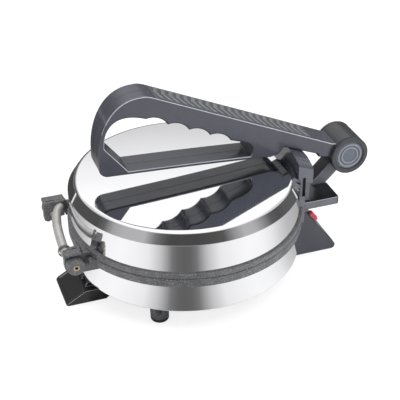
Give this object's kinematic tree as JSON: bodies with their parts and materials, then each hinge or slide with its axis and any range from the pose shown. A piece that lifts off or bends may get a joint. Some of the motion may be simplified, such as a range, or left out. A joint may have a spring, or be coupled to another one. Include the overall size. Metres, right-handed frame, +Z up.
{
  "type": "electric roti maker",
  "caption": "Round hinged two-plate electric flatbread press with mirror steel shells, folding lever handle with a looped grip, front lift tab and lamp housing foot.",
  "frame": {"origin": "centre of the bounding box on the table plane", "axes": "+X from the rear hinge to the barrel of the handle, +Z up"},
  "size_m": [0.3225, 0.2308, 0.2009],
  "materials": {
    "steel": "mirror polished stainless steel",
    "cast_coated": "speckled grey non-stick coating on cast aluminium",
    "black_sheet": "black enamel",
    "gloss_black": "glossy moulded",
    "handle_plastic": "satin gloss moulded",
    "cap_plastic": "satin gloss moulded",
    "grip": "ribbed soft touch",
    "rubber": "matte",
    "arm_metal": "satin grey paint",
    "brass": "turned",
    "zinc": "zinc plated",
    "bright_sheet": "rolled",
    "element_sheath": "heat tinted",
    "ceramic": "steatite ceramic",
    "felt": "mineral wool",
    "conduit": "satin grey",
    "conduit_end": "satin",
    "lamp_red": "tinted lens",
    "lamp_green": "tinted lens"
  },
  "bodies": {
    "base": {"base_shell": "steel", "base_cover": "black_sheet", "cover_screws": "zinc", "lower_plate": "cast_coated", "lower_element": "element_sheath", "lower_reflector": "bright_sheet", "lower_spacers": "zinc", "thermostat": "ceramic", "terminal_block": "ceramic", "peg_feet": "gloss_black", "foot_tips": "rubber", "hinge_foot": "gloss_black", "cord_gland": "rubber", "lamp_housing": "gloss_black", "red_lamp": "lamp_red", "green_lamp": "lamp_green", "lamp_holders": "ceramic", "housing_screws": "zinc", "hinge_pins": "brass"},
    "lid": {"lid_shell": "steel", "upper_plate": "cast_coated", "upper_element": "element_sheath", "upper_reflector": "bright_sheet", "upper_spacers": "zinc", "insulation_pad": "felt", "thermal_fuse": "ceramic", "yoke": "gloss_black", "yoke_screws": "zinc", "lift_tab": "gloss_black", "stay_arm": "arm_metal", "wire_conduit": "conduit", "conduit_glands": "conduit_end", "barrel_bush": "brass"},
    "handle": {"handle_front": "handle_plastic", "handle_rear": "handle_plastic", "grip_pad": "grip", "handle_screws": "zinc", "barrel_pin": "zinc", "barrel_cap_front": "cap_plastic", "barrel_cap_rear": "cap_plastic"}
  },
  "joints": [
    {"name": "lid_hinge", "type": "hinge", "parent": "base", "child": "lid", "pos_m": [-0.14875, 0.006, 0.0565], "axis": [0, -1, 0], "range_deg": [0, 95]},
    {"name": "handle_fold", "type": "hinge", "parent": "lid", "child": "handle", "pos_m": [0.14165, 0, 0.102], "axis": [0, 1, 0], "range_deg": [0, 130]}
  ]
}
